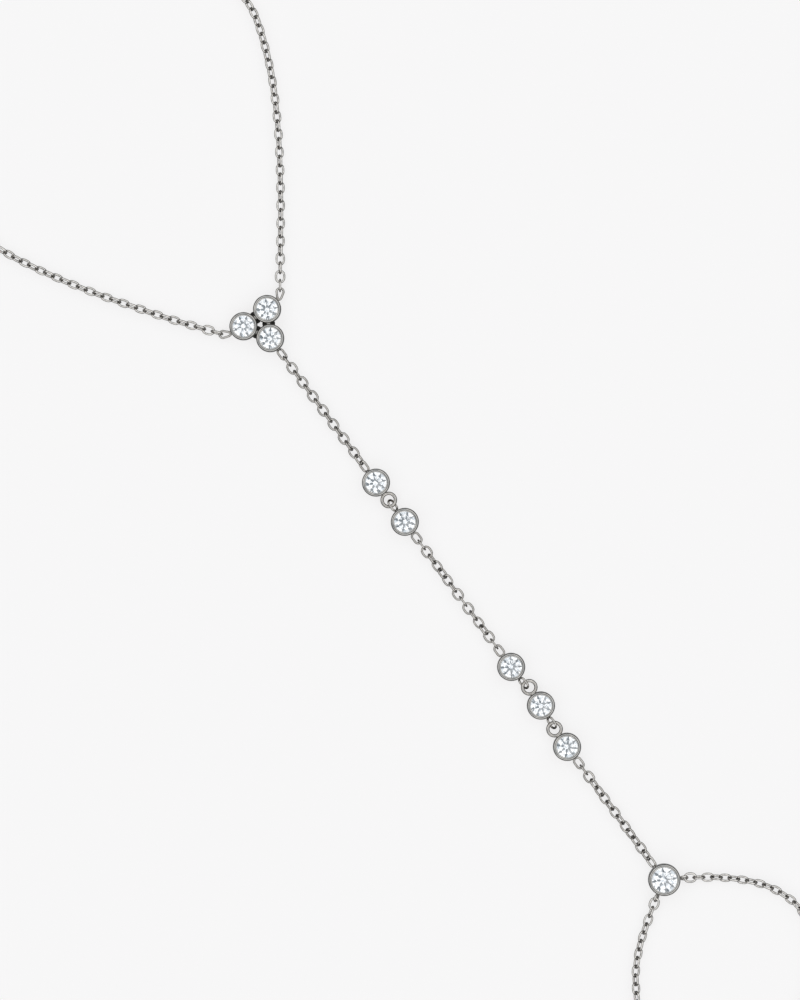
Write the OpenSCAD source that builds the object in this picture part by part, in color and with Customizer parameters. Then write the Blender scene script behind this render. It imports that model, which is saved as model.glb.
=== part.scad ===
// Hand chain bracelet: a wrist loop, a line of set stones over the hand, a finger loop.
// It lies flat on a surface, +X runs from the wrist to the finger, +Z points up.

/* [Stones and bezels] */
// Diameter of a stone in the cluster, the pair and the trio
stone_d = 3; // [2.6:0.1:3.6]
// Diameter of the stone at the finger
finger_stone_d = 3.5; // [3:0.1:4.4]
// Gap between a stone and the metal round it
stone_gap = 0.05; // [0.03:0.01:0.08]
// Wall of a bezel beside its stone's girdle
bezel_wall = 0.22; // [0.16:0.02:0.4]
// How far a bezel's lip reaches in over its stone
lip_cover = 0.15; // [0.1:0.01:0.2]
// Height of a bezel's rim above its stone's girdle
lip_rise = 0.3; // [0.26:0.01:0.4]
// Thickness of a bezel's closed back
back_t = 0.25; // [0.2:0.05:0.5]

/* [Chain] */
// Diameter of the wire of links and eyes
wire_d = 0.28; // [0.22:0.01:0.32]
// Outer width of a link
link_w = 1.34; // [1.2:0.02:1.6]
// Outer length of a link
link_l = 1.8; // [1.7:0.02:2.2]
// Least gap between two wires that hook into each other
link_gap = 0.12; // [0.11:0.01:0.16]

/* [Eyes and rings] */
// Room on each side of the wire that passes through an eye
eye_play = 0.16; // [0.12:0.01:0.3]
// Straight part of a chain's eye between its round ends
eye_straight = 0.56; // [0.3:0.02:1]
// Outer diameter of a ring between two settings
ring_d = 2.1; // [2:0.05:2.3]
// Diameter of a ring's wire
ring_wire = 0.32; // [0.28:0.01:0.36]
// Clear distance from a ring's wire to the tip of the eye through it
ring_play = 0.5; // [0.3:0.02:0.7]
// Depth to which eyes and rings are soldered into a bezel
solder_bite = 0.12; // [0.08:0.01:0.16]

/* [Line over the hand] */
// Gap between the bezels of the cluster
cluster_gap = 0.12; // [0.08:0.02:0.3]
// Length of a solder bridge between two bezels of the cluster
bridge_l = 1.6; // [1.2:0.1:1.7]
// Height of a solder bridge
bridge_h = 1.1; // [0.7:0.1:1.4]
// Distance from the cluster's lowest stone to the pair
pair_reach = 22.4; // [18:0.1:30]
// Distance from the cluster's lowest stone to the trio
trio_reach = 51; // [44:0.1:60]
// Distance between two stones that a ring joins
setting_pitch = 6.1; // [6:0.05:6.8]
// Distance from the cluster's lowest stone to the finger's stone
finger_reach = 83.8; // [76:0.1:96]

/* [Wrist loop] */
// Distance from the cluster to the clasp
wrist_l = 58.4; // [50:0.1:70]
// Width of the loop where it is widest
wrist_w = 45.4; // [36:0.1:56]
// Angle round its bezel at which a wrist chain's eye is soldered
wrist_eye_angle = 100; // [92:1:108]
// How far the right wrist chain's eye leans out of line with its bezel's centre
right_eye_lean = 37; // [25:1:45]
// How far the left wrist chain's eye leans
left_eye_lean = 22; // [15:1:40]
// Outer diameter of the clasp's ring
clasp_d = 5.5; // [4.5:0.1:8]
// Thickness of the clasp's ring
clasp_wire = 1.2; // [1:0.05:1.3]

/* [Finger loop] */
// Distance from the finger's stone to the far end of the loop
finger_l = 23.8; // [19:0.1:28]
// Width of the loop where it is widest
finger_w = 25.6; // [20:0.1:32]
// Angle at which the finger chain leaves the bezel
finger_eye_angle = 59; // [45:1:75]

/* [Hidden] */
$fn = 40;

// Routes of the chains, from the eye at one end to the eye at the other.
// Each point is [share of the loop's length, share of half its width].
left_route = [
    [0.118, 0.374], [0.202, 0.528], [0.266, 0.641], [0.336, 0.753], [0.394, 0.837], [0.454, 0.910],
    [0.550, 0.985], [0.660, 0.990], [0.770, 0.890], [0.870, 0.680], [0.950, 0.400]
];
right_route = [
    [0.096, 0.316], [0.180, 0.476], [0.279, 0.652], [0.363, 0.784], [0.443, 0.888], [0.526, 0.968],
    [0.577, 0.989], [0.680, 0.985], [0.785, 0.870], [0.880, 0.650], [0.955, 0.380]
];
finger_route = [
    [0.136, 0.388], [0.193, 0.520], [0.254, 0.638], [0.324, 0.750], [0.408, 0.840], [0.498, 0.897],
    [0.555, 0.906], [0.643, 0.883], [0.761, 0.773], [0.878, 0.578], [0.975, 0.359], [1.000, 0.094],
    [0.975, -0.227], [0.895, -0.539], [0.773, -0.797], [0.630, -0.969], [0.513, -0.980],
    [0.420, -0.898], [0.324, -0.784], [0.273, -0.703], [0.197, -0.552], [0.126, -0.369]
];

// Twist of a chain about its own line, in [share of its length, degrees]
left_twist = [[0, 8], [0.06, 40], [0.25, 42], [0.32, 47], [0.92, 45], [1, 0]];
right_twist = [[0, 0], [0.08, 42], [0.3, 42], [0.38, 47], [0.92, 45], [1, 0]];
upper_twist = [[0, 0], [0.1, 12], [0.85, 15], [1, 38]];
middle_twist = [
    [0, 0], [0.1, 0], [0.25, 38], [0.32, 38], [0.48, 0], [0.66, 0], [0.8, 36], [0.94, 0], [1, 0]
];
lower_twist = [[0, 0], [0.1, 4], [0.31, 60], [0.38, 64], [0.64, 64], [0.88, 22], [1, 42]];
finger_twist = [[0, 0], [0.06, 21], [0.45, 22], [0.55, 25], [0.94, 25], [1, 0]];

// Skew of a chain: how far every second link lies over from a quarter turn, in [share, degrees]
left_skew = [[0, 0], [0.06, -20], [0.25, -22], [0.92, -22], [1, 0]];
right_skew = [[0, 0], [0.08, -22], [0.3, -22], [0.38, -15], [0.92, -15], [1, 0]];
finger_skew = [[0, 0], [0.06, 21], [0.45, 20], [0.55, 18], [0.94, 18], [1, 0]];
no_skew = [[0, 0], [1, 0]];

// Roll of each kind of eye, 0 when its loop lies flat
flat_roll = 0;
upright_roll = 90;
hook_roll = 60;

// Heading of the first link of each wrist chain
right_heading = 145;
left_heading = -146;

// Sideways places of the stones off the straight line, as they came to lie
pair_sway = [0.07, 0.1];
trio_sway = [0.18, 0.35, -0.05];
// Turn of each ring off the line between its two stones
pair_ring_turn = 0;
trio_ring_turn = [0, -5, 3];

// Proportions of a brilliant-cut stone, as shares of its diameter
table_share = 0.56;
crown_share = 0.15;
girdle_share = 0.03;
pavilion_share = 0.42;
star_share = 0.8;
lower_share = 0.24;
facets = 8;
// Turn of each next stone in its bezel
stone_turn = 17;

// The hollow under a stone, as a share of the stone's diameter
hollow_share = 0.7;
// Rounding of a bezel's rim and of its foot
rim_round = 0.19;
foot_round = 0.15;
// Steps in each rounding, and in a route between two of its points
arc_steps = 5;
spline_steps = 10;
// Depth to which a solder bridge runs into a bezel's wall, and its height above the surface
bridge_bite = 0.2;
bridge_foot = 0.2;
// Angle round the clasp at which its two eyes are soldered
clasp_eye_angle = 75;

// The eye at the end of a chain faces back along it and takes the roll that its twist ends with
upper_end_roll = -upper_twist[len(upper_twist) - 1][1];
lower_end_roll = -lower_twist[len(lower_twist) - 1][1];

// Heights inside a setting, from the surface that it stands on
function girdle_low(d) = back_t + stone_gap + d * pavilion_share;
function girdle_top(d) = girdle_low(d) + d * girdle_share;
function bezel_h(d) = girdle_top(d) + lip_rise;
function bezel_r(d) = d / 2 + stone_gap + bezel_wall;

// A link or eye of this roll rests its lowest wire on the surface, and so does the one hooked to it
link_r = (link_w - wire_d) / 2;
function line_z(roll, skew = 0) = wire_d / 2 + link_r * max(abs(sin(roll)), abs(cos(roll + skew)));

// Two hooked wires lie this far apart, and a taut chain has this distance from joint to joint
hook_d = wire_d + link_gap;
link_pitch = link_l - wire_d - hook_d;

// Where an eye's round back end is centred, and where the first joint of its chain lies, both seen
// from the centre of the round body that it is soldered to
eye_w = 3 * wire_d + 2 * eye_play;
function eye_back(r, width) = r + width / 2 - solder_bite;
function joint_at(r, angle, straight, heading, lean = 0) =
    polar(eye_back(r, eye_w), angle) + polar(straight, angle + lean)
        + polar((eye_w - wire_d - hook_d) / 2, heading);

// The sides of an eye through a ring stay clear of the ring's wire
hook_eye_w = wire_d + (wire_d + ring_wire + 2 * link_gap) / sin(hook_roll);
ring_at = bezel_r(stone_d) + ring_d / 2 - solder_bite;
ring_hook = ring_at + (ring_d - ring_wire) / 2 - (wire_d + ring_wire) / 2 - ring_play;

// Places of the settings, with the whole piece centred over the origin
cluster_r = (2 * bezel_r(stone_d) + cluster_gap) / sqrt(3);
left_extent = cluster_r + wrist_l + clasp_d / 2;
right_extent = finger_reach + finger_l + link_w / 2;
line_x = (left_extent - right_extent) / 2;
cluster_at = [line_x - cluster_r, 0];
cluster_angles = [120, -120, 0];
pair_at = [for (i = [0, 1]) [line_x + pair_reach + i * setting_pitch, pair_sway[i]]];
trio_at = [for (i = [0 : 2]) [line_x + trio_reach + i * setting_pitch, trio_sway[i]]];
finger_at = [line_x + finger_reach, 0];
clasp_at = [cluster_at.x - wrist_l, 0];

function polar(r, angle) = r * [cos(angle), sin(angle)];
function cluster_stone_at(i) = cluster_at + polar(cluster_r, cluster_angles[i]);
function aim(from, to) = atan2(to.y - from.y, to.x - from.x);

// A smooth curve through the points: Catmull-Rom, with the ends continued straight
function knot(p, i) = i < 0 ? 2 * p[0] - p[1]
    : i >= len(p) ? 2 * p[len(p) - 1] - p[len(p) - 2]
    : p[i];
function blend(a, b, c, d, t) =
    (2 * b + (c - a) * t + (2 * a - 5 * b + 4 * c - d) * t ^ 2 + (3 * b - a - 3 * c + d) * t ^ 3) / 2;
function curve(p) = [
    for (i = [0 : len(p) - 2], k = [0 : spline_steps - 1])
        blend(knot(p, i - 1), p[i], p[i + 1], knot(p, i + 2), k / spline_steps),
    p[len(p) - 1]
];
function lengths(q) = [
    for (i = 0, s = 0; i < len(q); s = s + norm(knot(q, i + 1) - q[i]), i = i + 1) s
];

// Joints between links, evenly spaced along the curve, with an odd number of links between them.
// They lie a little high, so that a link that tips between two of them stays above the surface.
tip_rise = 0.03;
function odd_count(length) = 2 * ceil((length / link_pitch - 1) / 2) + 1;
function joints(route, roll, twist, skew) =
    let (q = curve(route), s = lengths(q), total = s[len(s) - 1], n = odd_count(total))
    let (x_table = [for (i = [0 : len(q) - 1]) [s[i], q[i].x]])
    let (y_table = [for (i = [0 : len(q) - 1]) [s[i], q[i].y]])
    [for (i = [0 : n]) [
        lookup(total * i / n, x_table),
        lookup(total * i / n, y_table),
        line_z(roll + lookup(i / n, twist), lookup(i / n, skew)) + tip_rise
    ]];

function wrist_route(side, shares, lean, heading) = concat(
    [
        cluster_stone_at(side > 0 ? 0 : 1)
            + joint_at(bezel_r(stone_d), side * wrist_eye_angle, eye_straight, heading, side * lean)
    ],
    [for (p = shares) cluster_at + [-p.x * wrist_l, side * p.y * wrist_w / 2]],
    [clasp_at + joint_at(clasp_d / 2, side * clasp_eye_angle, 0, side * clasp_eye_angle)]
);
function finger_joint(angle) = finger_at + joint_at(bezel_r(finger_stone_d), angle, 0, angle);
finger_path = concat(
    [finger_joint(finger_eye_angle)],
    [for (p = finger_route) finger_at + [p.x * finger_l, p.y * finger_w / 2]],
    [finger_joint(-finger_eye_angle)]
);
// A straight run of chain between the facing eyes of two settings
function straight_route(a, a_d, b, b_d) = [
    a + joint_at(bezel_r(a_d), aim(a, b), eye_straight, aim(a, b)),
    b + joint_at(bezel_r(b_d), aim(b, a), eye_straight, aim(b, a))
];

// Outline of a half section of a bezel: foot, wall, rounded rim, lip, groove, seat and hollow
function arc(centre, r, from, to) = [
    for (i = [0 : arc_steps]) centre + polar(r, from + (to - from) * i / arc_steps)
];
crown_slope = crown_share / ((1 - table_share) / 2);
function bezel_outline(d) =
    let (r = bezel_r(d), top = bezel_h(d), open_r = d / 2 - lip_cover, groove_r = d / 2 + stone_gap)
    let (hollow_r = d * hollow_share / 2, low = girdle_low(d) - stone_gap, high = girdle_top(d) + stone_gap)
    let (seat_z = low - (groove_r - hollow_r) * pavilion_share * 2)
    let (under = high + (groove_r - open_r) * crown_slope, lip_round = (top - under) / 2)
    concat(
        [[0, 0]],
        arc([r - foot_round, foot_round], foot_round, -90, 0),
        arc([r - rim_round, top - rim_round], rim_round, 0, 90),
        arc([open_r + lip_round, top - lip_round], lip_round, 90, 180),
        [
            [open_r, under],
            [groove_r, high],
            [groove_r, low],
            [hollow_r, seat_z],
            [hollow_r, back_t],
            [0, back_t]
        ]
    );

module bezel(d) {
    rotate_extrude()
        polygon(bezel_outline(d));
}

// Wire bent round through an angle, starting at -Y
module wire_arc(width, wire, angle) {
    rotate_extrude(angle = angle, start = -90)
        translate([(width - wire) / 2, 0])
            circle(d = wire);
}

// A closed loop of wire, from the centre of its back end towards +X
module loop(straight, width, wire = wire_d) {
    if (straight == 0)
        wire_arc(width, wire, 360);
    else {
        rotate([0, 0, 180])
            wire_arc(width, wire, 180);
        translate([straight, 0, 0])
            wire_arc(width, wire, 180);
        for (side = [-1, 1])
            translate([0, side * (width - wire) / 2, 0])
                rotate([0, 90, 0])
                    cylinder(h = straight, d = wire);
    }
}

// An eye soldered by its back end to a round body of radius r
module eye(r, angle, straight, roll, width, z, lean = 0) {
    rotate([0, 0, angle])
        translate([eye_back(r, width), 0, z])
            rotate([roll, 0, lean])
                loop(straight, width);
}

module chain_eye(d, angle, straight = eye_straight, roll = flat_roll, lean = 0) {
    eye(bezel_r(d), angle, straight, roll, eye_w, line_z(roll), lean);
}

// An eye that reaches into the ring of the neighbouring setting
module hook_eye(from, to) {
    back = eye_back(bezel_r(stone_d), hook_eye_w);
    straight = norm(to - from) - ring_hook - (hook_eye_w - wire_d) / 2 - back;
    eye(bezel_r(stone_d), aim(from, to), straight, hook_roll, hook_eye_w, line_z(flat_roll));
}

// A ring soldered flat to a bezel's side
module soldered_ring(from, to, turn) {
    rotate([0, 0, aim(from, to) + turn])
        translate([ring_at, 0, line_z(flat_roll)])
            loop(0, ring_d, ring_wire);
}

module at(place) {
    translate([place.x, place.y, 0])
        children();
}

// One closed link about the origin, its length along X
module link() {
    straight = link_l - link_w;
    translate([-straight / 2, 0, 0])
        loop(straight, link_w);
}

// Each link lies between two joints and is turned about a quarter against the one before it
module chain(route, roll, twist, skew = no_skew) {
    points = joints(route, roll, twist, skew);
    n = len(points) - 1;
    for (i = [0 : n - 1]) {
        run = points[i + 1] - points[i];
        share = (i + 0.5) / n;
        lie = i % 2 == 0 ? lookup(share, skew) : 0;
        turn = roll + 90 * (i + 1) + lookup(share, twist) + lie;
        translate((points[i] + points[i + 1]) / 2)
            rotate([turn, -asin(run.z / norm(run)), atan2(run.y, run.x)])
                link();
    }
}

// Brilliant cut with its culet at the origin: table, star, kite and girdle facets, girdle,
// lower girdle facets and pavilion mains
module brilliant(d) {
    r = d / 2;
    table_r = r * table_share;
    star_r = r * star_share;
    lower_r = r * lower_share;
    low_z = d * pavilion_share;
    high_z = low_z + d * girdle_share;
    table_z = high_z + d * crown_share;
    half = 180 / facets;
    star_z = table_z - (star_r * cos(half) - table_r) * crown_slope;
    lower_z = lower_r * cos(half) * low_z / r;
    points = concat(
        [for (k = [0 : facets - 1]) [each polar(table_r, 2 * k * half), table_z]],
        [for (k = [0 : facets - 1]) [each polar(star_r, (2 * k + 1) * half), star_z]],
        [for (k = [0 : 2 * facets - 1]) [each polar(r, k * half), high_z]],
        [for (k = [0 : 2 * facets - 1]) [each polar(r, k * half), low_z]],
        [for (k = [0 : facets - 1]) [each polar(lower_r, (2 * k + 1) * half), lower_z]],
        [[0, 0, 0]]
    );
    star = facets;
    upper = 2 * facets;
    under = 4 * facets;
    lower = 6 * facets;
    culet = 7 * facets;
    rim = 2 * facets;
    faces = concat(
        [[for (k = [facets - 1 : -1 : 0]) k]],
        [for (k = [0 : facets - 1]) [k, (k + 1) % facets, star + k]],
        [for (k = [0 : facets - 1]) [k, star + k, upper + 2 * k, star + (k + facets - 1) % facets]],
        [for (k = [0 : facets - 1]) [star + k, upper + 2 * k + 1, upper + 2 * k]],
        [for (k = [0 : facets - 1]) [star + k, upper + (2 * k + 2) % rim, upper + 2 * k + 1]],
        [for (k = [0 : rim - 1]) [upper + k, upper + (k + 1) % rim, under + (k + 1) % rim, under + k]],
        [for (k = [0 : facets - 1]) [lower + k, under + 2 * k, under + 2 * k + 1]],
        [for (k = [0 : facets - 1]) [lower + k, under + 2 * k + 1, under + (2 * k + 2) % rim]],
        [for (k = [0 : facets - 1]) [culet, lower + (k + facets - 1) % facets, under + 2 * k, lower + k]]
    );
    polyhedron(points, faces);
}

module set_stone(place, d, count) {
    color("aliceblue")
        translate([place.x, place.y, back_t + stone_gap])
            rotate([0, 0, count * stone_turn])
                brilliant(d);
}

module cluster_setting() {
    side = 2 * bezel_r(stone_d) + cluster_gap;
    color("silver") {
        for (i = [0 : 2])
            at(cluster_stone_at(i)) bezel(stone_d);
        for (angle = cluster_angles)
            at(cluster_at)
                rotate([0, 0, angle + 180])
                    translate([side / 2 / sqrt(3), 0, bridge_foot + bridge_h / 2])
                        cube([bridge_l, cluster_gap + 2 * bridge_bite, bridge_h], center = true);
        at(cluster_stone_at(0)) chain_eye(stone_d, wrist_eye_angle, lean = right_eye_lean);
        at(cluster_stone_at(1)) chain_eye(stone_d, -wrist_eye_angle, lean = -left_eye_lean);
        at(cluster_stone_at(2)) chain_eye(stone_d, aim(cluster_stone_at(2), pair_at[0]));
    }
}

module pair_setting(i) {
    color("silver")
        at(pair_at[i]) {
            bezel(stone_d);
            if (i == 0) {
                chain_eye(stone_d, aim(pair_at[0], cluster_stone_at(2)), roll = upper_end_roll);
                soldered_ring(pair_at[0], pair_at[1], pair_ring_turn);
            } else {
                hook_eye(pair_at[1], pair_at[0]);
                chain_eye(stone_d, aim(pair_at[1], trio_at[0]));
            }
        }
}

module trio_setting(i) {
    color("silver")
        at(trio_at[i]) {
            bezel(stone_d);
            if (i == 0)
                chain_eye(stone_d, aim(trio_at[0], pair_at[1]));
            if (i > 0)
                soldered_ring(trio_at[i], trio_at[i - 1], trio_ring_turn[i]);
            if (i < 2)
                hook_eye(trio_at[i], trio_at[i + 1]);
            if (i == 2)
                chain_eye(stone_d, aim(trio_at[2], finger_at));
        }
}

module finger_setting() {
    color("silver")
        at(finger_at) {
            bezel(finger_stone_d);
            chain_eye(finger_stone_d, aim(finger_at, trio_at[2]), roll = lower_end_roll);
            for (side = [-1, 1])
                chain_eye(finger_stone_d, side * finger_eye_angle, 0, upright_roll);
        }
}

// A plain closed ring with an eye on each side for the two chain ends
module clasp() {
    color("silver")
        at(clasp_at) {
            translate([0, 0, clasp_wire / 2])
                loop(0, clasp_d, clasp_wire);
            for (side = [-1, 1])
                eye(clasp_d / 2, side * clasp_eye_angle, 0, flat_roll, eye_w, line_z(flat_roll));
        }
}

module wrist_chain_left() {
    color("silver")
        chain(
            wrist_route(-1, left_route, left_eye_lean, left_heading),
            flat_roll, left_twist, left_skew
        );
}

module wrist_chain_right() {
    color("silver")
        chain(
            wrist_route(1, right_route, right_eye_lean, right_heading),
            flat_roll, right_twist, right_skew
        );
}

module hand_chain_upper() {
    color("silver")
        chain(straight_route(cluster_stone_at(2), stone_d, pair_at[0], stone_d), flat_roll, upper_twist);
}

module hand_chain_middle() {
    color("silver")
        chain(straight_route(pair_at[1], stone_d, trio_at[0], stone_d), flat_roll, middle_twist);
}

module hand_chain_lower() {
    color("silver")
        chain(straight_route(trio_at[2], stone_d, finger_at, finger_stone_d), flat_roll, lower_twist);
}

module finger_chain() {
    color("silver") chain(finger_path, upright_roll, finger_twist, finger_skew);
}

wrist_chain_left();
wrist_chain_right();
clasp();
cluster_setting();
set_stone(cluster_stone_at(0), stone_d, 1);  // cluster_stone_1
set_stone(cluster_stone_at(1), stone_d, 2);  // cluster_stone_2
set_stone(cluster_stone_at(2), stone_d, 3);  // cluster_stone_3
hand_chain_upper();
pair_setting(0);  // pair_setting_1
pair_setting(1);  // pair_setting_2
set_stone(pair_at[0], stone_d, 4);  // pair_stone_1
set_stone(pair_at[1], stone_d, 5);  // pair_stone_2
hand_chain_middle();
trio_setting(0);  // trio_setting_1
trio_setting(1);  // trio_setting_2
trio_setting(2);  // trio_setting_3
set_stone(trio_at[0], stone_d, 6);  // trio_stone_1
set_stone(trio_at[1], stone_d, 7);  // trio_stone_2
set_stone(trio_at[2], stone_d, 8);  // trio_stone_3
hand_chain_lower();
finger_setting();
set_stone(finger_at, finger_stone_d, 9);  // finger_stone
finger_chain();
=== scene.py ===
# A hand chain bracelet: fine cable chain round the wrist and the finger, and a line of
# bezel-set stones over the hand. It lies flat on a pale table, seen from straight above.

import bpy
import numpy as np
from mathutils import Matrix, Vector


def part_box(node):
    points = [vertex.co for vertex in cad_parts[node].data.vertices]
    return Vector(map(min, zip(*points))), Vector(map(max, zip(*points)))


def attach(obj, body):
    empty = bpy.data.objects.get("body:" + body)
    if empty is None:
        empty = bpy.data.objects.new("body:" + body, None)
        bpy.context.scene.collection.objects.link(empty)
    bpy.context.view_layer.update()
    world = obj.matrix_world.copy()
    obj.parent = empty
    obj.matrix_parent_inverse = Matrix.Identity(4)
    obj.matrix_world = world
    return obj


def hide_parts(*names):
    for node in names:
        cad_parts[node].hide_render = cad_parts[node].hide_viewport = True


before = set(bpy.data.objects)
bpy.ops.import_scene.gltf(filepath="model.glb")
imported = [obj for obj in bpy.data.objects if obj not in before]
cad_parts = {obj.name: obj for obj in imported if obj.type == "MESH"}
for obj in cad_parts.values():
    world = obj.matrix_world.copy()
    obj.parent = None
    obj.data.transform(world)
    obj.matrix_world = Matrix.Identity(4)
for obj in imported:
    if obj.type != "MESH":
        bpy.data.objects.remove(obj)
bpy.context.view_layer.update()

MM = 0.001

# Sizes in millimetres and angles in degrees, as the solids have them
WIRE = 0.28
RING_WIRE = 0.32
LINK_W = 1.34
RING_D = 2.1
EYE_W = 1.16
EYE_STRAIGHT = 0.56
HOOK_EYE_W = 1.2514
SOLDER_BITE = 0.12
RING_PLAY = 0.5
STONE_GAP = 0.05
BEZEL_WALL = 0.22
BACK_T = 0.25
LIP_COVER = 0.15
LIP_RISE = 0.3
HOLLOW_SHARE = 0.7
FOOT_ROUND = 0.15
PAVILION_SHARE = 0.42
GIRDLE_SHARE = 0.03
CROWN_SHARE = 0.15
TABLE_SHARE = 0.56
STAR_SHARE = 0.8
STONE_D = 3.0
FINGER_STONE_D = 3.5
STONE_TURN = 17
CLUSTER_GAP = 0.12
BRIDGE_L = 1.6
BRIDGE_H = 1.1
BRIDGE_FOOT = 0.2
BRIDGE_BITE = 0.2
CLASP_D = 5.5
CLASP_WIRE = 1.2
CLASP_EYE_ANGLE = 75
WRIST_EYE_ANGLE = 100
RIGHT_EYE_LEAN = 37
LEFT_EYE_LEAN = 22
FINGER_EYE_ANGLE = 59
UPPER_END_ROLL = -38
LOWER_END_ROLL = -42
PAIR_RING_TURN = 0
TRIO_RING_TURN = [0, -5, 3]

# Sizes that are shown a little off the solids'. Links are shorter, so that they bear on each other.
LINK_SHORTER = 0.1
# The soldered rings' wire and the hooked eyes' roll, as the photo shows them
RING_SHOWN_WIRE = 0.42
HOOK_SHOWN_ROLL = 50
# Width of the back end of the cluster's outer eyes, as a share of the front's: they are drops
DROP_PINCH = 0.45
# Eyes that were bent further about their own lines, in degrees
CLUSTER_EYE_BENT = -38
FINGER_EYE_BENT = -25
# A stone's depth under its girdle, and the place of its lower facets' tips, as shares of its width and
# of its radius: at these a real brilliant shows eight dark spokes
SHOWN_PAVILION_SHARE = 0.43
SHOWN_LOWER_SHARE = 0.3
# How far the hand's cut moves a culet, and a lower facet's tip
CULET_SHIFT = 0.05
TIP_SHIFT = 0.006
# A rim's outer wall stands in, its lip reaches over the stone, its crest lies inwards, and it falls to
# the wall over this height; its lip ends this thick, and the burnisher's waves go this far in and down
WALL_INSET = 0.01
LIP_REACH = 0.03
CREST_IN = 0.02
RIM_FALL = 0.24
LIP_EDGE = 0.03
WAVE_IN = 0.02
WAVE_DOWN = 0.015

# Half sizes of the drops of solder at the foot of an eye, a hooked eye and a ring, and between two
# bezels, with that one's height and how deep the others sink into the wall
EYE_DROP = (0.12, 0.26, 0.2)
HOOK_DROP = (0.12, 0.22, 0.3)
RING_DROP = (0.14, 0.34, 0.22)
CONTACT_DROP = (0.13, 0.36, 0.3)
CONTACT_Z = 1.66
DROP_SINK = 0.02

# How dark the painted shade is at the ends of an eye and of a hooked eye, where neighbours pass through
EYE_TIP_SHADE = 0.2
HOOK_TIP_SHADE = 0.9

# Corners of a CAD mesh that are nearer than this are one, in millimetres
WELD = 0.002

# Steps round each bend of a loop and round its wire
LINK_STEPS = (7, 6)
EYE_STEPS = (15, 10)
CLASP_STEPS = (33, 20)
BEZEL_STEPS = 64

# Heading of the tent's opening: 5 degrees off the vertical, so that the stones are darker to one side
OPENING_AIM = (0.0133, -0.0838, 0.9964)

# The picture: its width on the table in millimetres, its heading in degrees, and its middle
PICTURE_W = 125
PICTURE_HEADING = 53.96
PICTURE_AT = (3.426, 1.22)
LENS = 300
SENSOR = 36
STONE_TOP = 2


# Places, read from the stones of the frame

def middle_of(node):
    """Middle of a node's box seen from above, in millimetres: half the sum of its two corners."""
    low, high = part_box(node)
    return np.array([low.x + high.x, low.y + high.y]) / 2 / MM


CLUSTER_AT = [middle_of(f"cluster_stone_{i}") for i in (1, 2, 3)]
PAIR_AT = [middle_of(f"pair_stone_{i}") for i in (1, 2)]
TRIO_AT = [middle_of(f"trio_stone_{i}") for i in (1, 2, 3)]
FINGER_AT = middle_of("finger_stone")
CLASP_AT = np.array([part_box("clasp")[0].x / MM + CLASP_D / 2, 0.0])


def aim(start, end):
    """Heading from one place to another, in degrees: the angle whose tangent is dy / dx."""
    return np.degrees(np.arctan2(end[1] - start[1], end[0] - start[0]))


def bezel_r(stone_d):
    """Outer radius of the bezel that holds a stone."""
    return stone_d / 2 + STONE_GAP + BEZEL_WALL


def girdle_low(stone_d):
    """Height of the lower edge of a stone's girdle."""
    return BACK_T + STONE_GAP + stone_d * PAVILION_SHARE


# Surfaces

def turned(angles, axis):
    """Rotation matrices for angles in degrees about one axis, stacked: cosines on the diagonal of the
    two other axes, and the sines beside them."""
    angles = np.radians(np.asarray(angles, float))
    a, b = [(1, 2), (2, 0), (0, 1)][axis]
    m = np.zeros(angles.shape + (3, 3))
    m[..., axis, axis] = 1
    m[..., a, a] = m[..., b, b] = np.cos(angles)
    m[..., b, a] = np.sin(angles)
    m[..., a, b] = -np.sin(angles)
    return m


def step(low, high, value):
    """Smooth step from 0 at low to 1 at high: t * t * (3 - 2 t), with t the clipped share of the way."""
    t = np.clip((value - low) / (high - low), 0, 1)
    return t * t * (3 - 2 * t)


def wrapped_quads(rows, columns, wrap_rows=True):
    """Quads of a grid whose columns close on themselves, and its rows too where wrap_rows is true:
    corner (i, j) is joined to (i+1, j), (i+1, j+1) and (i, j+1), each index taken round."""
    i, j = np.meshgrid(np.arange(rows if wrap_rows else rows - 1), np.arange(columns), indexing="ij")
    k, m = (i + 1) % rows, (j + 1) % columns
    return np.stack([i * columns + j, k * columns + j, k * columns + m, i * columns + m], -1).reshape(-1, 4)


def wire_loop(straight, width, wire, steps, pinch=1.0):
    """A closed loop of round wire. The path is two half circles of radius (width - wire) / 2, the back one
    about the origin and the front one about (straight, 0). With no straight part they are one circle,
    and the places where they meet are given once. The path's y is multiplied by a share that falls in
    a straight line from 1 at the front centre to pinch at the back end, so that a pinched loop is a drop.
    At path angle f and wire angle w, the surface is the path's point plus wire / 2 times
    (cos w cos f, cos w sin f, sin w).
    Gives the points, their quads, and how much painted shade each takes: 1 at the loop's two ends, where
    neighbours pass through it, fading to 0 up its sides, by the smooth step of |cos f| from 0.8 to 1."""
    bend_steps, wire_steps = steps
    half = np.linspace(0, np.pi, bend_steps)
    if straight == 0:
        half = half[:-1]
    f = np.concatenate([half - np.pi / 2, half + np.pi / 2])[:, None]
    shift = np.repeat([straight, 0.0], len(half))[:, None]
    w = np.linspace(0, 2 * np.pi, wire_steps, endpoint=False)[None, :]
    r = (width - wire) / 2
    forward = np.clip((shift + r * np.cos(f) + r) / (straight + r), 0, 1)
    x = shift + (r + wire / 2 * np.cos(w)) * np.cos(f)
    y = (r * (pinch + (1 - pinch) * forward) + wire / 2 * np.cos(w)) * np.sin(f)
    z = wire / 2 * np.sin(w) * np.ones_like(f)
    # Painted shade at the loop's two ends, where neighbours pass through it
    dark = step(0.8, 1, np.abs(np.cos(f))) * np.ones_like(w)
    points = np.stack([x, y, z], -1).reshape(-1, 3)
    return points, wrapped_quads(len(f), wire_steps), dark.reshape(-1)


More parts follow.
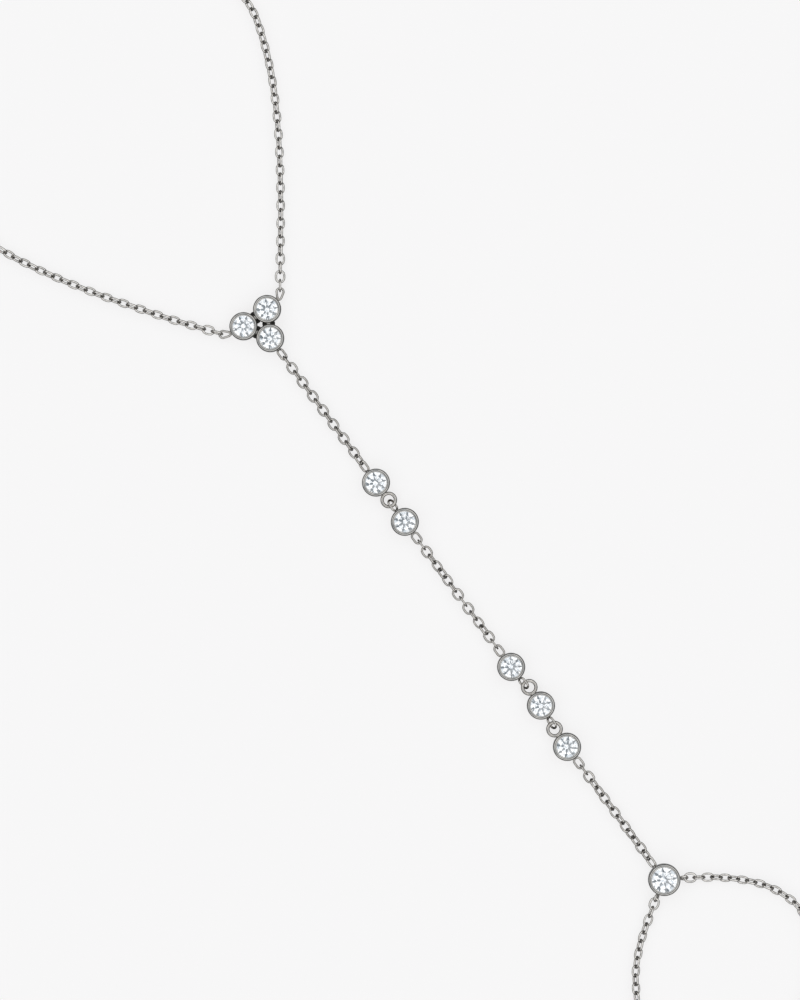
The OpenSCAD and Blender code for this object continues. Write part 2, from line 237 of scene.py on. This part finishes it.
def turned_solid(profile, steps, ripple=None):
    """A profile of (radius, height) points turned round the Z axis, from pole to pole: point i at angle a
    is (r cos a, r sin a, z). The first and last points are the poles, each one point that a fan of
    triangles closes. ripple(a, r, z) gives a change of radius and height that follows the angle."""
    profile = np.asarray(profile, float)
    ring = profile[1:-1]
    a = np.linspace(0, 2 * np.pi, steps, endpoint=False)[None, :]
    r, z = ring[:, :1] * np.ones_like(a), ring[:, 1:] * np.ones_like(a)
    if ripple is not None:
        r, z = ripple(a, r, z)
    grid = np.stack([r * np.cos(a), r * np.sin(a), z], -1).reshape(-1, 3)
    points = np.vstack([grid, [[0, 0, profile[0, 1]], [0, 0, profile[-1, 1]]]])
    quads = wrapped_quads(len(ring), steps, wrap_rows=False)[:, ::-1]
    first, last = len(grid), len(grid) + 1
    j = np.arange(steps)
    k = (j + 1) % steps
    top = (len(ring) - 1) * steps
    fans = np.vstack([np.stack([np.full(steps, first), k, j], -1),
                      np.stack([np.full(steps, last), top + j, top + k], -1)])
    return points, [*quads.tolist(), *fans.tolist()]


def arc(centre, radius, start, end, steps):
    """Points on an arc: centre + radius (cos t, sin t), for t from start to end in degrees."""
    t = np.radians(np.linspace(start, end, steps))
    return np.stack([centre[0] + radius[0] * np.cos(t), centre[1] + radius[1] * np.sin(t)], -1)


def pebble(size, steps=14):
    """A small drop of solder: an ellipsoid, (sin u cos v, sin u sin v, cos u) times its half sizes."""
    u = np.linspace(0, np.pi, steps)
    profile = np.stack([np.sin(u), -np.cos(u)], -1)
    points, faces = turned_solid(profile, 2 * steps)
    return points * np.asarray(size, float), faces


# Meshes

class Mould:
    """Collects surfaces, in millimetres, that become one piece."""

    def __init__(self):
        self.points, self.faces, self.dark, self.count = [], [], [], 0

    def pour(self, points, faces, dark=None):
        self.points.append(points)
        self.faces += [[c + self.count for c in face] for face in faces]
        self.dark.append(np.zeros(len(points)) if dark is None else dark)
        self.count += len(points)

    def piece(self, name, material, slot, smooth_angle=40):
        """The finished piece: the points in metres, its shading smooth where faces meet at less than
        smooth_angle, and the painted shade at its loops' ends as an attribute."""
        mesh = bpy.data.meshes.new(name)
        mesh.from_pydata(np.vstack(self.points) * MM, [], self.faces)
        mesh.polygons.foreach_set("use_smooth", np.full(len(mesh.polygons), smooth_angle > 0))
        if smooth_angle > 0:
            mesh.set_sharp_from_angle(angle=np.radians(smooth_angle))
        # Painted shade at the loops' ends, kept as a point attribute
        dark = mesh.attributes.new("recess_shade", "FLOAT", "POINT")
        dark.data.foreach_set("value", np.concatenate(self.dark).astype(np.float32))
        mesh.materials.append(material)
        mesh.update()
        obj = bpy.data.objects.new(name, mesh)
        bpy.context.scene.collection.objects.link(obj)
        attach(obj, "root")
        return obj


# Materials

def srgb(code):
    """Linear colour of an sRGB hex code, by the sRGB transfer curve."""
    v = np.array([int(code[i:i + 2], 16) for i in (1, 3, 5)]) / 255
    linear = np.where(v <= 0.04045, v / 12.92, ((v + 0.055) / 1.055) ** 2.4)
    return (*linear.tolist(), 1.0)


def add(tree, kind, inputs=None, **settings):
    """Adds a node: settings go on the node, and each input takes a value or the socket that feeds it."""
    new = tree.nodes.new(kind)
    for name, value in settings.items():
        setattr(new, name, value)
    for name, value in (inputs or {}).items():
        if isinstance(value, bpy.types.NodeSocket):
            tree.links.new(value, new.inputs[name])
        else:
            new.inputs[name].default_value = value
    return new


def blank(name):
    """A new material with its nodes cleared, and the material's own tree."""
    material = bpy.data.materials.new(name)
    material.use_nodes = True
    material.node_tree.nodes.clear()
    return material, material.node_tree


def shade(ramp, stops):
    """Sets a colour ramp to these (place, hex colour) stops."""
    elements = ramp.color_ramp.elements
    for place, code in stops[:-2]:
        elements.new(place)
    for element, (place, code) in zip(elements, stops):
        element.position, element.color = place, srgb(code)


def plated_silver(name, thin, thick, smooth, dull, wall=None):
    """Silver castings and drawn wire, barrel polished and rhodium plated: a cool grey mirror, a little soft
    from fine scratches, mixed to near black by painted shade where loops pass through each other. Where
    wall is given, the colour under the rims is that lighter one, and the rims above are darker."""
    material, tree = blank(name)
    coords = add(tree, "ShaderNodeTexCoord").outputs["Object"]
    # Clouds of thicker and thinner plating, about 0.8 mm across
    clouds = add(tree, "ShaderNodeTexNoise", {"Vector": coords, "Scale": 1 / 0.0008, "Detail": 3.0})
    tone = add(tree, "ShaderNodeValToRGB", {"Fac": clouds.outputs["Fac"]})
    shade(tone, ((0.35, thin), (0.65, thick)))
    recess_shade = add(tree, "ShaderNodeAttribute", attribute_name="recess_shade").outputs["Fac"]
    plating = tone.outputs["Color"]
    if wall is not None:
        # The colour changes over a quarter of a millimetre, just under the rims
        up = add(tree, "ShaderNodeSeparateXYZ", {"Vector": coords}).outputs["Z"]
        low = add(tree, "ShaderNodeMapRange", {"Value": up, "From Min": 0.00145, "From Max": 0.0017,
                                               "To Min": 1.0, "To Max": 0.0})
        plating = add(tree, "ShaderNodeMix", {"Factor": low.outputs["Result"], "A": plating, "B": srgb(wall)},
                      data_type="RGBA").outputs["Result"]
    # Painted shade: the attribute mixes the plating to near black at the loops' ends
    colour = add(tree, "ShaderNodeMix", {"Factor": recess_shade, "A": plating, "B": srgb("#0d0c0b")},
                 data_type="RGBA")
    # Polishing scratches are 0.01 mm wide, drawn 0.09 mm wide so that they show
    scratches = add(tree, "ShaderNodeTexNoise", {"Vector": coords, "Scale": 1 / 0.00009, "Detail": 2.0})
    rough = add(tree, "ShaderNodeMapRange",
                {"Value": scratches.outputs["Fac"], "To Min": smooth, "To Max": dull})
    bump = add(tree, "ShaderNodeBump", {"Height": scratches.outputs["Fac"], "Distance": 0.000002,
                                        "Strength": 0.5})
    shader = add(tree, "ShaderNodeBsdfPrincipled",
                 {"Base Color": colour.outputs["Result"], "Metallic": 1.0,
                  "Roughness": rough.outputs["Result"], "Normal": bump.outputs["Normal"]})
    add(tree, "ShaderNodeOutputMaterial", {"Surface": shader.outputs["BSDF"]})
    return material


def solder_in_painted_shade(name):
    """Silver solder that ran between the bezels, coloured nearly black as painted shade for the deep shade
    between the bezel walls: matt, with a pitted skin."""
    material, tree = blank(name)
    coords = add(tree, "ShaderNodeTexCoord").outputs["Object"]
    # Pits of burnt flux, about 0.15 mm across
    pits = add(tree, "ShaderNodeTexNoise", {"Vector": coords, "Scale": 1 / 0.00015, "Detail": 4.0})
    # Painted shade: the near-black tones stand for the shade between the bezels
    tone = add(tree, "ShaderNodeValToRGB", {"Fac": pits.outputs["Fac"]})
    shade(tone, ((0.4, "#0f0e0b"), (0.75, "#33312c")))
    bump = add(tree, "ShaderNodeBump", {"Height": pits.outputs["Fac"], "Distance": 0.00003, "Strength": 0.8})
    shader = add(tree, "ShaderNodeBsdfPrincipled",
                 {"Base Color": tone.outputs["Color"], "Metallic": 0.6, "Roughness": 0.55,
                  "Normal": bump.outputs["Normal"]})
    add(tree, "ShaderNodeOutputMaterial", {"Surface": shader.outputs["BSDF"]})
    return material


def zirconia(name):
    """Colourless cubic zirconia, cut and polished: clear, very bright, and split into small mirrors by
    its facets."""
    material, tree = blank(name)
    coords = add(tree, "ShaderNodeTexCoord").outputs["Object"]
    # The faintest polishing haze, in patches about 0.3 mm across
    haze = add(tree, "ShaderNodeTexNoise", {"Vector": coords, "Scale": 1 / 0.0003, "Detail": 1.0})
    rough = add(tree, "ShaderNodeMapRange", {"Value": haze.outputs["Fac"], "To Min": 0.0, "To Max": 0.03})
    shader = add(tree, "ShaderNodeBsdfPrincipled",
                 {"Base Color": srgb("#fbfdff"), "Roughness": rough.outputs["Result"], "IOR": 2.16,
                  "Transmission Weight": 1.0})
    add(tree, "ShaderNodeOutputMaterial", {"Surface": shader.outputs["BSDF"]})
    return material


bezel_silver = plated_silver("rhodium_plated_silver", "#9e9c99", "#b4b2ae", 0.08, 0.17, "#e2e1de")
wire_silver = plated_silver("rhodium_plated_silver_wire", "#c6c2bd", "#dbd7d2", 0.1, 0.2)
hand_silver = plated_silver("rhodium_plated_silver_hand_wire", "#aeaaa5", "#c4c0bb", 0.1, 0.2)
# Solder bridges near black: painted shade between the bezels
solder = solder_in_painted_shade("silver_solder_painted_shade")
stone_glass = zirconia("cubic_zirconia")


# Chains

def links_of(node):
    """Middle, axes and half sizes of each loose link of a CAD chain.
    Corners in one cell of the weld's size are one point, whose key is its three cell numbers of 20 bits
    each. Each point takes the lowest number that a triangle brings to it, over and over until none
    changes, and points with one number are one link. A link's middle is the mean of its triangles'
    middles weighted by area, and its axes are the eigenvectors of their spread: thinnest first, then
    across, then along. Half sizes are the furthest points along them."""
    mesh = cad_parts[node].data
    mesh.calc_loop_triangles()
    corner = np.empty(len(mesh.loop_triangles) * 3, np.int32)
    mesh.loop_triangles.foreach_get("vertices", corner)
    place = np.empty(len(mesh.vertices) * 3, np.float32)
    mesh.vertices.foreach_get("co", place)
    place = place.reshape(-1, 3).astype(float) / MM
    grid = np.round(place / WELD).astype(np.int64) + 2 ** 19
    key = (grid[:, 0] << 40) + (grid[:, 1] << 20) + grid[:, 2]
    keys, point = np.unique(key, return_inverse=True)
    triangle = point[corner].reshape(-1, 3)
    label = np.arange(len(keys))
    while True:
        lowest = label[triangle].min(1)
        new = label.copy()
        np.minimum.at(new, triangle.reshape(-1), np.repeat(lowest, 3))
        new = np.minimum(new, new[new])
        if (new == label).all():
            break
        label = new
    names, part = np.unique(label[triangle[:, 0]], return_inverse=True)
    count = len(names)
    a, b, c = place[corner.reshape(-1, 3)].transpose(1, 0, 2)
    area = np.linalg.norm(np.cross(b - a, c - a), axis=1) / 2
    centre = (a + b + c) / 3
    total = np.bincount(part, area, count)
    middle = np.stack([np.bincount(part, area * centre[:, k], count) for k in range(3)], -1) / total[:, None]
    away = centre - middle[part]
    spread = np.stack([np.bincount(part, area * away[:, i] * away[:, j], count)
                       for i in range(3) for j in range(3)], -1).reshape(-1, 3, 3)
    axes = np.linalg.eigh(spread)[1]
    axes *= np.sign(np.linalg.det(axes))[:, None, None]
    along = np.einsum("nk,nkj->nj", a - middle[part], axes[part])
    half = np.zeros((count, 3))
    np.maximum.at(half, part, np.abs(along))
    return middle, axes, half


def chain_piece(name, node, material):
    """One oval link of round wire at each link of the CAD chain: its points times the link's axes, plus
    its middle. The tips of links that stand on edge sit inside their neighbours and get painted shade,
    by 1 less the fourth power of how flat the link lies."""
    middle, axes, half = links_of(node)
    wire, width, length = 2 * half.mean(0) - [0, 0, LINK_SHORTER]
    points, quads, dark = wire_loop(length - width, width, wire, LINK_STEPS)
    points = points - [(length - width) / 2, 0, 0]
    frames = axes[:, :, ::-1].copy()
    frames *= np.sign(np.linalg.det(frames))[:, None, None]
    placed = middle[:, None, :] + np.einsum("pk,njk->npj", points, frames)
    mould = Mould()
    all_quads = (quads[None] + len(points) * np.arange(len(middle))[:, None, None]).reshape(-1, 4)
    # Painted shade: upright links keep dark ends, flat ones lose them
    upright_shade = 1 - np.abs(frames[:, 2, 2]) ** 4
    mould.pour(placed.reshape(-1, 3), all_quads.tolist(), (upright_shade[:, None] * dark[None, :]).reshape(-1))
    obj = mould.piece(name, material, "metal", 180)
    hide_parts(node)


chain_piece("wrist_links_left", "wrist_chain_left", wire_silver)
chain_piece("wrist_links_right", "wrist_chain_right", wire_silver)
chain_piece("hand_links_upper", "hand_chain_upper", hand_silver)
chain_piece("hand_links_middle", "hand_chain_middle", hand_silver)
chain_piece("hand_links_lower", "hand_chain_lower", hand_silver)
chain_piece("finger_links", "finger_chain", wire_silver)


# Settings

def bezel_profile(stone_d):
    """Half section of a bezel: foot, wall, a rim rolled over the stone as a half round, the groove that
    holds the girdle, the seat, and the hollow under the stone."""
    r, low = bezel_r(stone_d), girdle_low(stone_d)
    high = low + stone_d * GIRDLE_SHARE
    top = high + LIP_RISE
    r -= WALL_INSET
    open_r, groove_r = stone_d / 2 - LIP_COVER - LIP_REACH, stone_d / 2 + STONE_GAP
    slope = CROWN_SHARE / ((1 - TABLE_SHARE) / 2)
    under = high + STONE_GAP + (groove_r - open_r) * slope
    hollow_r = stone_d * HOLLOW_SHARE / 2
    seat_z = low - STONE_GAP - (groove_r - hollow_r) * PAVILION_SHARE * 2
    crest = (r + open_r) / 2 - CREST_IN
    return np.vstack([
        [[0, 0]],
        arc((r - FOOT_ROUND, FOOT_ROUND), (FOOT_ROUND, FOOT_ROUND), -90, 0, 6),
        arc((crest, top - RIM_FALL), (r - crest, RIM_FALL), 0, 90, 9),
        arc((crest, under + LIP_EDGE), (crest - open_r, top - under - LIP_EDGE), 90, 180, 7)[1:],
        [[open_r, under], [groove_r, high + STONE_GAP], [groove_r, low - STONE_GAP],
         [hollow_r, seat_z], [hollow_r, BACK_T], [0, BACK_T]],
    ])


def burnished(seed):
    """The rim as a burnisher leaves it: a sum of sines of k times the angle, each over the root of k, that
    pulls the rim in and down and fades out over the 0.4 mm below it."""
    random = np.random.default_rng(seed)
    waves = [(k, random.uniform(0, 2 * np.pi), random.uniform(0.5, 1)) for k in (2, 3, 5, 7, 11)]

    def ripple(a, r, z):
        swing = sum(size * np.sin(k * a + phase) / k ** 0.5 for k, phase, size in waves)
        swing = (swing - swing.max()) / (swing.max() - swing.min())
        rim = np.clip((z - z.max() + 0.5) / 0.4, 0, 1)
        return r + WAVE_IN * swing * rim, z + WAVE_DOWN * swing * rim
    return ripple


def pour_bezel(mould, place, stone_d, seed):
    """A bezel at its place: its half section turned round its axis, with its own burnishing."""
    points, faces = turned_solid(bezel_profile(stone_d), BEZEL_STEPS, burnished(seed))
    mould.pour(points + [place[0], place[1], 0], faces)


def pour_eye(mould, place, radius, angle, straight, roll, width, z, lean=0.0, wire=WIRE, tip_shade=0.0,
             pinch=1.0):
    """A loop of wire soldered by its back end to a round body: its own points turned by roll about X and
    by lean about Z, moved out to the body's wall, and turned to its angle round the body. Its ends get
    painted shade, as dark as the share given."""
    points, quads, dark = wire_loop(straight, width, wire, EYE_STEPS, pinch)
    points = points @ (turned(lean, 2) @ turned(roll, 0)).T
    points = points + [radius + width / 2 - SOLDER_BITE, 0, z]
    points = points @ turned(angle, 2).T + [place[0], place[1], 0]
    mould.pour(points, quads.tolist(), tip_shade * dark)


def pour_solder(mould, place, radius, angle, z, size):
    """The drop of solder at the foot of an eye: an ellipsoid half sunk in the body's wall."""
    points, faces = pebble(size)
    points = points + [radius - DROP_SINK, 0, z]
    mould.pour(points @ turned(angle, 2).T + [place[0], place[1], 0], faces)


def eye_height(roll):
    """Height of an eye's centre, its lowest wire on the table."""
    turn = np.radians(roll)
    return WIRE / 2 + (LINK_W - WIRE) / 2 * max(abs(np.sin(turn)), abs(np.cos(turn)))


def chain_eye(mould, place, stone_d, angle, straight=EYE_STRAIGHT, roll=0, lean=0.0, bent=0, pinch=1.0):
    """An eye for a chain, and the solder at its foot. It is bent a little further about its own line
    than it was soldered, and its back may be pinched to a drop."""
    pour_eye(mould, place, bezel_r(stone_d), angle, straight, roll + bent, EYE_W, eye_height(roll), lean,
             tip_shade=EYE_TIP_SHADE, pinch=pinch)
    pour_solder(mould, place, bezel_r(stone_d), angle, eye_height(roll), EYE_DROP)


def hook_eye(mould, start, end):
    """An eye that reaches into the neighbour's ring: its straight part fills the way that is left."""
    ring_at = bezel_r(STONE_D) + RING_D / 2 - SOLDER_BITE
    reach = ring_at + (RING_D - RING_WIRE) / 2 - (WIRE + RING_WIRE) / 2 - RING_PLAY
    back = bezel_r(STONE_D) + HOOK_EYE_W / 2 - SOLDER_BITE
    straight = np.linalg.norm(end - start) - reach - (HOOK_EYE_W - WIRE) / 2 - back
    pour_eye(mould, start, bezel_r(STONE_D), aim(start, end), straight, HOOK_SHOWN_ROLL, HOOK_EYE_W,
             eye_height(0), tip_shade=HOOK_TIP_SHADE)
    pour_solder(mould, start, bezel_r(STONE_D), aim(start, end), eye_height(0), HOOK_DROP)


def soldered_ring(mould, start, end, turn):
    """The round ring on a bezel's side, flat, turned off the line between the two stones."""
    pour_eye(mould, start, bezel_r(STONE_D), aim(start, end) + turn, 0, 0, RING_D, eye_height(0),
             wire=RING_SHOWN_WIRE)
    pour_solder(mould, start, bezel_r(STONE_D), aim(start, end) + turn, eye_height(0), RING_DROP)


def rounded_bar(half, roundness=0.35, steps=12):
    """A bar with soft edges and corners: each unit direction's parts raised to a small power, times the
    bar's half sizes."""
    u = np.linspace(0, np.pi, steps)[1:-1]
    profile = np.vstack([[[0, -1]], np.stack([np.sin(u), -np.cos(u)], -1), [[0, 1]]])
    points, faces = turned_solid(profile, 2 * steps)
    return np.sign(points) * np.abs(points) ** roundness * half, faces


cluster = Mould()
loops = Mould()
bridges = Mould()
centre = sum(CLUSTER_AT) / 3
for i, place in enumerate(CLUSTER_AT):
    pour_bezel(cluster, place, STONE_D, i)
chain_eye(loops, CLUSTER_AT[0], STONE_D, WRIST_EYE_ANGLE, lean=RIGHT_EYE_LEAN, pinch=DROP_PINCH)
chain_eye(loops, CLUSTER_AT[1], STONE_D, -WRIST_EYE_ANGLE, lean=-LEFT_EYE_LEAN, pinch=DROP_PINCH)
chain_eye(loops, CLUSTER_AT[2], STONE_D, aim(CLUSTER_AT[2], PAIR_AT[0]), bent=CLUSTER_EYE_BENT)
for first, second in ((0, 1), (1, 2), (2, 0)):
    between = (CLUSTER_AT[first] + CLUSTER_AT[second]) / 2
    points, faces = rounded_bar((BRIDGE_L / 2, CLUSTER_GAP / 2 + BRIDGE_BITE, BRIDGE_H / 2))
    points = points + [0, 0, BRIDGE_FOOT + BRIDGE_H / 2]
    points = points @ turned(aim(centre, between), 2).T + [between[0], between[1], 0]
    bridges.pour(points, faces)
    points, faces = pebble(CONTACT_DROP)
    points = (points + [0, 0, CONTACT_Z]) @ turned(aim(CLUSTER_AT[first], CLUSTER_AT[second]), 2).T
    cluster.pour(points + [between[0], between[1], 0], faces)
piece = cluster.piece("cluster_bezels", bezel_silver, "metal")
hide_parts("cluster_setting")
loops.piece("cluster_eyes", hand_silver, "metal")
bridges.piece("cluster_solder_bridges", solder, "metal")

for i, place in enumerate(PAIR_AT):
    mould, loops = Mould(), Mould()
    pour_bezel(mould, place, STONE_D, 10 + i)
    if i == 0:
        chain_eye(loops, place, STONE_D, aim(place, CLUSTER_AT[2]), roll=UPPER_END_ROLL)
        soldered_ring(loops, place, PAIR_AT[1], PAIR_RING_TURN)
    else:
        hook_eye(loops, place, PAIR_AT[0])
        chain_eye(loops, place, STONE_D, aim(place, TRIO_AT[0]))
    piece = mould.piece(f"pair_bezel_{i + 1}", bezel_silver, "metal")
    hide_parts(f"pair_setting_{i + 1}")
    loops.piece(f"pair_eyes_{i + 1}", hand_silver, "metal")

for i, place in enumerate(TRIO_AT):
    mould, loops = Mould(), Mould()
    pour_bezel(mould, place, STONE_D, 20 + i)
    if i == 0:
        chain_eye(loops, place, STONE_D, aim(place, PAIR_AT[1]))
    if i > 0:
        soldered_ring(loops, place, TRIO_AT[i - 1], TRIO_RING_TURN[i])
    if i < 2:
        hook_eye(loops, place, TRIO_AT[i + 1])
    if i == 2:
        chain_eye(loops, place, STONE_D, aim(place, FINGER_AT))
    piece = mould.piece(f"trio_bezel_{i + 1}", bezel_silver, "metal")
    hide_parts(f"trio_setting_{i + 1}")
    loops.piece(f"trio_eyes_{i + 1}", hand_silver, "metal")

mould, loops = Mould(), Mould()
pour_bezel(mould, FINGER_AT, FINGER_STONE_D, 30)
chain_eye(loops, FINGER_AT, FINGER_STONE_D, aim(FINGER_AT, TRIO_AT[2]), roll=LOWER_END_ROLL)
for side in (-1, 1):
    chain_eye(loops, FINGER_AT, FINGER_STONE_D, side * FINGER_EYE_ANGLE, 0, 90, bent=FINGER_EYE_BENT * side)
piece = mould.piece("finger_bezel", bezel_silver, "metal")
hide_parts("finger_setting")
loops.piece("finger_eyes", wire_silver, "metal")

mould = Mould()
points, quads, dark = wire_loop(0, CLASP_D, CLASP_WIRE, CLASP_STEPS)
mould.pour(points + [CLASP_AT[0], CLASP_AT[1], CLASP_WIRE / 2], quads.tolist())
for side in (-1, 1):
    pour_eye(mould, CLASP_AT, CLASP_D / 2, side * CLASP_EYE_ANGLE, 0, 0, EYE_W, eye_height(0))
    pour_solder(mould, CLASP_AT, CLASP_D / 2, side * CLASP_EYE_ANGLE, eye_height(0), EYE_DROP)
piece = mould.piece("clasp_ring", wire_silver, "metal")
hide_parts("clasp")


# Stones

def brilliant(stone_d, turn, seed):
    """A round brilliant on its culet: rings of points at the table, the stars' tips, both edges of the
    girdle and the lower girdle facets' tips, each at its radius, height and step of angle, joined by
    the table, 8 star, 8 kite, 16 upper girdle, 16 lower girdle and 8 main pavilion facets. It is cut by
    hand: the points under the girdle are off by up to a few hundredths of a millimetre, so that no two
    stones flash alike."""
    r, pace = stone_d / 2, np.pi / 8
    low = stone_d * SHOWN_PAVILION_SHARE
    high = low + stone_d * GIRDLE_SHARE
    top = high + stone_d * CROWN_SHARE
    slope = CROWN_SHARE / ((1 - TABLE_SHARE) / 2)
    table_r, star_r, lower_r = r * TABLE_SHARE, r * STAR_SHARE, r * SHOWN_LOWER_SHARE
    even, odd, every = 2 * np.arange(8), 2 * np.arange(8) + 1, np.arange(16)

    def ring(radius, height, k):
        a = k * pace
        return np.stack([radius * np.cos(a), radius * np.sin(a), np.full(len(k), height)], -1)
    points = np.vstack([
        ring(table_r, top, even), ring(star_r, top - (star_r * np.cos(pace) - table_r) * slope, odd),
        ring(r, high, every), ring(r, low, every), ring(lower_r, lower_r * np.cos(pace) * low / r, odd),
        [[0, 0, 0]],
    ])
    random = np.random.default_rng(seed)
    star, upper, under, lower, culet = 8, 16, 32, 48, 56
    shift = random.uniform(-CULET_SHIFT, CULET_SHIFT, 2)
    points[lower:culet, :2] += shift * (1 - SHOWN_LOWER_SHARE)
    points[lower:culet] += random.uniform(-TIP_SHIFT, TIP_SHIFT, (8, 3))
    points[culet, :2] += shift
    k, n = np.arange(8), (np.arange(8) + 1) % 8
    m = (every + 1) % 16
    faces = [list(range(8))]
    faces += np.stack([k, star + k, n], -1).tolist()
    faces += np.stack([k, star + (k + 7) % 8, upper + 2 * k, star + k], -1).tolist()
    faces += np.stack([star + k, upper + 2 * k, upper + 2 * k + 1], -1).tolist()
    faces += np.stack([star + k, upper + 2 * k + 1, upper + (2 * k + 2) % 16], -1).tolist()
    faces += np.stack([upper + every, under + every, under + m, upper + m], -1).tolist()
    faces += np.stack([lower + k, under + 2 * k + 1, under + 2 * k], -1).tolist()
    faces += np.stack([lower + k, under + (2 * k + 2) % 16, under + 2 * k + 1], -1).tolist()
    faces += np.stack([np.full(8, culet), lower + k, under + 2 * k, lower + (k + 7) % 8], -1).tolist()
    return points @ turned(turn, 2).T, faces


stones = [(f"cluster_stone_{i + 1}", CLUSTER_AT[i], STONE_D) for i in range(3)]
stones += [(f"pair_stone_{i + 1}", PAIR_AT[i], STONE_D) for i in range(2)]
stones += [(f"trio_stone_{i + 1}", TRIO_AT[i], STONE_D) for i in range(3)]
stones += [("finger_stone", FINGER_AT, FINGER_STONE_D)]
for count, (node, place, stone_d) in enumerate(stones):
    mould = Mould()
    points, faces = brilliant(stone_d, STONE_TURN * (count + 1), count)
    culet = girdle_low(stone_d) - stone_d * SHOWN_PAVILION_SHARE
    mould.pour(points + [place[0], place[1], culet], faces)
    piece = mould.piece(f"{node}_brilliant", stone_glass, "stone", 0)
    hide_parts(node)


# Table, light and camera

def table_top():
    """A flat pale table, 3 m square, just under the bracelet."""
    mesh = bpy.data.meshes.new("table")
    mesh.from_pydata([(-1.5, -1.5, 0), (1.5, -1.5, 0), (1.5, 1.5, 0), (-1.5, 1.5, 0)], [], [(0, 1, 2, 3)])
    material, tree = blank("pale_table")
    # A lit table top: its glow reaches the lens, and little of it the silver's darker flanks
    lens = add(tree, "ShaderNodeLightPath").outputs["Is Camera Ray"]
    glow = add(tree, "ShaderNodeEmission", {"Color": srgb("#fffefe"), "Strength": 0.746})
    cloth = add(tree, "ShaderNodeBsdfDiffuse", {"Color": srgb("#7a7a7a")})
    dim = add(tree, "ShaderNodeEmission", {"Color": srgb("#ffffff"), "Strength": 0.12})
    seen = add(tree, "ShaderNodeMixShader",
               {0: lens, 1: dim.outputs["Emission"], 2: glow.outputs["Emission"]})
    both = add(tree, "ShaderNodeAddShader", {0: cloth.outputs["BSDF"], 1: seen.outputs["Shader"]})
    add(tree, "ShaderNodeOutputMaterial", {"Surface": both.outputs["Shader"]})
    mesh.materials.append(material)
    obj = bpy.data.objects.new("table", mesh)
    bpy.context.scene.collection.objects.link(obj)


def studio():
    """Soft light from the white ceiling of a small product tent, with a dim opening nearly straight above,
    where the lens looks in, and walls that fall off to a dark horizon. With z the height of a direction
    and c its product with the opening's aim, the light is the walls' ramp over z, dimmed from c = 0.966
    to 0.98, times cloth panels that vary a little round the tent. The lens itself sees a pale backdrop
    past the table."""
    world = bpy.data.worlds.new("studio")
    bpy.context.scene.world = world
    world.use_nodes = True
    tree = world.node_tree
    tree.nodes.clear()
    direction = add(tree, "ShaderNodeTexCoord").outputs["Generated"]
    height = add(tree, "ShaderNodeSeparateXYZ", {"Vector": direction}).outputs["Z"]
    walls = add(tree, "ShaderNodeValToRGB", {"Fac": height})
    shade(walls, ((0.0, "#2c2d2e"), (0.36, "#222324"), (0.54, "#ffffff")))
    across = add(tree, "ShaderNodeVectorMath", {0: direction, 1: OPENING_AIM}, operation="DOT_PRODUCT")
    opening = add(tree, "ShaderNodeMapRange",
                  {"Value": across.outputs["Value"], "From Min": 0.966, "From Max": 0.98})
    ceiling = add(tree, "ShaderNodeMix", {"Factor": opening.outputs["Result"], "A": walls.outputs["Color"],
                                          "B": srgb("#949799")}, data_type="RGBA")
    panels = add(tree, "ShaderNodeTexNoise", {"Vector": direction, "Scale": 3.0, "Detail": 0.0})
    cloth = add(tree, "ShaderNodeValToRGB", {"Fac": panels.outputs["Fac"]})
    shade(cloth, ((0.38, "#c9cfd4"), (0.5, "#ffffff")))
    light = add(tree, "ShaderNodeMix",
                {"Factor": 1.0, "A": ceiling.outputs["Result"], "B": cloth.outputs["Color"]},
                data_type="RGBA", blend_type="MULTIPLY")
    tent = add(tree, "ShaderNodeBackground", {"Color": light.outputs["Result"], "Strength": 1.5})
    backdrop = add(tree, "ShaderNodeBackground", {"Color": srgb("#f7f7f7"), "Strength": 1.0})
    lens = add(tree, "ShaderNodeLightPath").outputs["Is Camera Ray"]
    both = add(tree, "ShaderNodeMixShader",
               {0: lens, 1: tent.outputs["Background"], 2: backdrop.outputs["Background"]})
    add(tree, "ShaderNodeOutputWorld", {"Surface": both.outputs["Shader"]})


def camera():
    """A long lens straight above the hand's line. Its height over the stones is the picture's width times
    the lens's length over the sensor's."""
    data = bpy.data.cameras.new("camera")
    data.lens = LENS
    obj = bpy.data.objects.new("camera", data)
    bpy.context.scene.collection.objects.link(obj)
    x, y = PICTURE_AT
    obj.location = (x * MM, y * MM, (STONE_TOP + PICTURE_W * LENS / SENSOR) * MM)
    obj.rotation_euler = (0, 0, np.radians(PICTURE_HEADING))
    data.clip_end = 10
    bpy.context.scene.camera = obj


table_top()
studio()
camera()
bpy.context.scene.view_settings.view_transform = "Standard"
